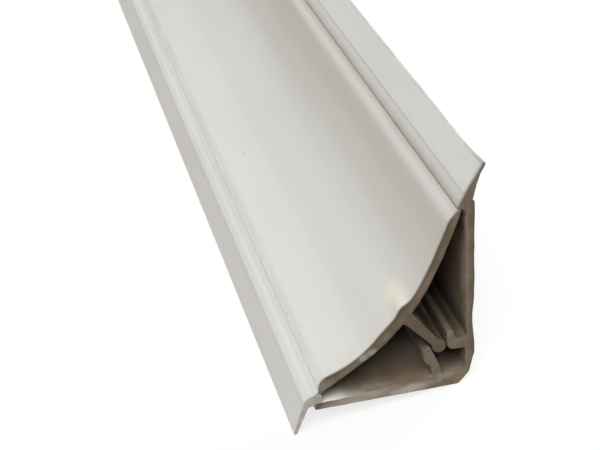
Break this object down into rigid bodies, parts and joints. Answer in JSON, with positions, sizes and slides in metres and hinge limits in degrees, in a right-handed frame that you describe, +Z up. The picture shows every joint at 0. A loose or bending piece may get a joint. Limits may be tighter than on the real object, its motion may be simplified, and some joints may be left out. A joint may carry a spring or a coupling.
{
  "type": "worktop wall sealing strip",
  "caption": "Two-part plastic sealing strip for the joint of a kitchen worktop and wall: an L-shaped clip base, a hollow-faced clip-on cover and soft edge lips.",
  "frame": {"origin": "on the floor, under the middle of the strip's own box", "axes": "+Y along the strip, +X out from the wall side towards the room, +Z up; the strip leans to the wall side by 8.1 degrees, as it rests on its heel and on the tip of its worktop lip"},
  "size_m": [0.0282, 1, 0.0285],
  "materials": {
    "base_pvc": "off-white rigid PVC, sawn ends dull and brownish",
    "cover_pvc": "off-white rigid PVC with a satin face",
    "lip_pvc": "off-white soft PVC, slightly see-through at its thin edge"
  },
  "bodies": {
    "root": {"base_profile": "base_pvc", "cover_profile": "cover_pvc", "wall_lip": "lip_pvc", "worktop_lip": "lip_pvc"}
  },
  "joints": []
}
